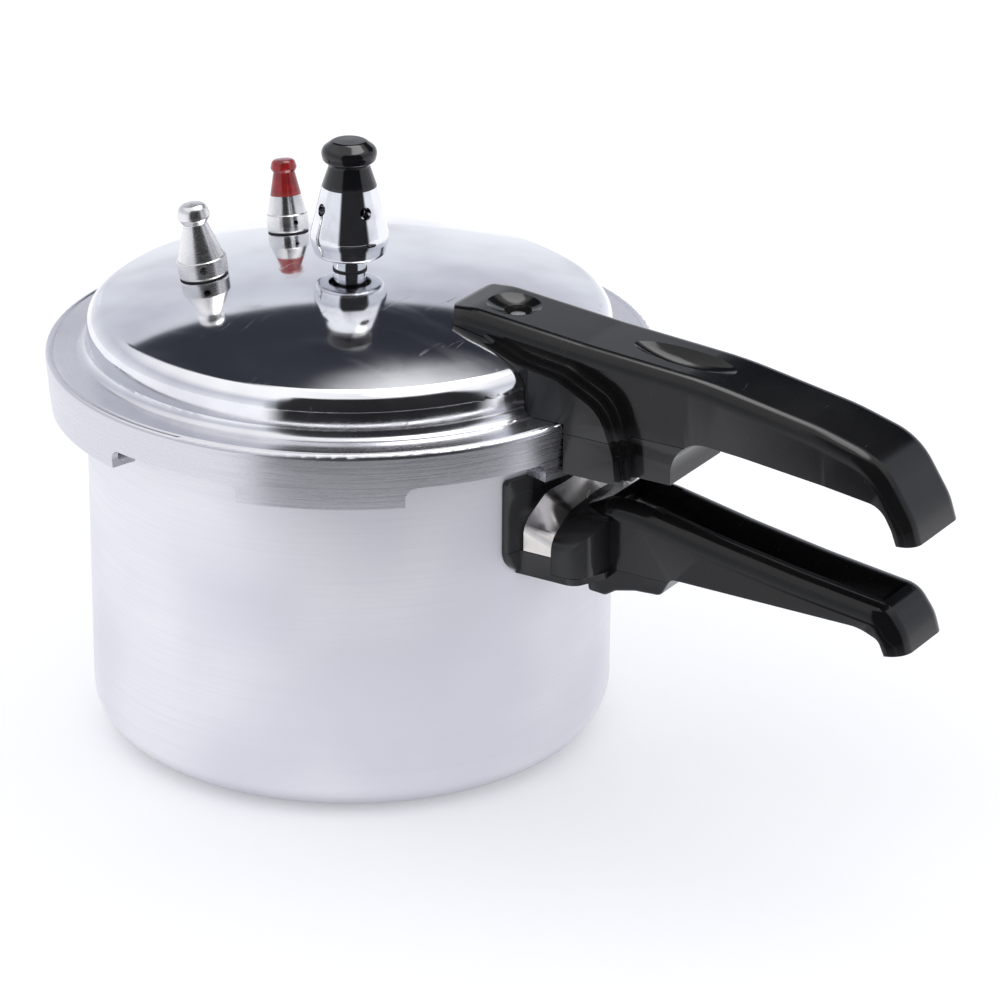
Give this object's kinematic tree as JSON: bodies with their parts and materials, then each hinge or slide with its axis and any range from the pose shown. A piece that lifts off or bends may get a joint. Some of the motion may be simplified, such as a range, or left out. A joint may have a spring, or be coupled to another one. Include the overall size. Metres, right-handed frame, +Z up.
{
  "type": "stovetop pressure cooker",
  "caption": "Aluminium stovetop pressure cooker with a bayonet lid, long black upper and lower handles, centre pressure weight and two spring safety valves.",
  "frame": {"origin": "centre of the pot's flat underside, on the pot's axis", "axes": "+X along both handles, +Z up the pot's axis"},
  "size_m": [0.374, 0.236, 0.2388],
  "materials": {
    "pot_aluminium": "satin",
    "lid_aluminium": "polished",
    "black_phenolic": "gloss",
    "steel": "satin",
    "band_steel": "polished",
    "weight_chrome": "polished",
    "valve_aluminium": "turned, bright",
    "red_plastic": "gloss",
    "black_plastic": "gloss",
    "seal_rubber": "matt",
    "gasket_rubber": "matt",
    "brass": "turned"
  },
  "bodies": {
    "pot": {"pot_body": "pot_aluminium", "pot_bracket": "steel", "pot_rivet_left": "pot_aluminium", "pot_rivet_right": "pot_aluminium", "pot_handle_grip": "black_phenolic", "pot_handle_cover": "black_phenolic", "pot_handle_band": "band_steel", "pot_handle_screw_front": "steel", "pot_handle_screw_rear": "steel", "pot_handle_nut_front": "steel", "pot_handle_nut_rear": "steel"},
    "seal_ring": {"gasket": "gasket_rubber"},
    "lid": {"float_bush": "brass", "float_nut": "steel", "lid_bracket": "steel", "lid_handle_base": "black_phenolic", "lid_handle_grip": "black_phenolic", "lid_handle_insert": "brass", "lid_handle_screw": "steel", "lid_rivet_left": "pot_aluminium", "lid_rivet_right": "pot_aluminium", "lid_shell": "lid_aluminium", "red_valve_cap": "red_plastic", "red_valve_housing": "valve_aluminium", "red_valve_nut": "valve_aluminium", "red_valve_seat": "valve_aluminium", "red_valve_spring": "steel", "red_valve_washer": "seal_rubber", "silver_valve_cap": "valve_aluminium", "silver_valve_housing": "valve_aluminium", "silver_valve_nut": "valve_aluminium", "silver_valve_seat": "valve_aluminium", "silver_valve_spring": "steel", "silver_valve_washer": "seal_rubber", "vent_guard": "steel", "vent_nut": "steel", "vent_pipe": "weight_chrome", "vent_washer": "seal_rubber"},
    "weight": {"weight_body": "weight_chrome", "weight_cap": "black_plastic", "weight_pin": "steel"},
    "float": {"float_pin": "valve_aluminium", "float_seal": "seal_rubber"},
    "red_plunger": {"red_valve_plunger": "steel"},
    "silver_plunger": {"silver_valve_plunger": "steel"}
  },
  "joints": [
    {"name": "lid_lift", "type": "slide", "parent": "pot", "child": "seal_ring", "axis": [0, 0, 1], "range_m": [0, 0.15]},
    {"name": "lid_turn", "type": "hinge", "parent": "seal_ring", "child": "lid", "pos_m": [0, 0, 0.154], "axis": [0, 0, 1], "range_deg": [0, 30]},
    {"name": "weight_lift", "type": "slide", "parent": "lid", "child": "weight", "axis": [0, 0, 1], "range_m": [0, 0.03]},
    {"name": "float_rise", "type": "slide", "parent": "lid", "child": "float", "axis": [0, 0, 1], "range_m": [0, 0.004]},
    {"name": "red_plunger_rise", "type": "slide", "parent": "lid", "child": "red_plunger", "axis": [-0.1369, 0.0903, 0.9865], "range_m": [0, 0.002], "stiffness_N_per_m": 1500, "deforming": ["red_valve_spring"]},
    {"name": "silver_plunger_rise", "type": "slide", "parent": "lid", "child": "silver_plunger", "axis": [-0.1327, -0.0714, 0.9886], "range_m": [0, 0.002], "stiffness_N_per_m": 1500, "deforming": ["silver_valve_spring"]}
  ]
}
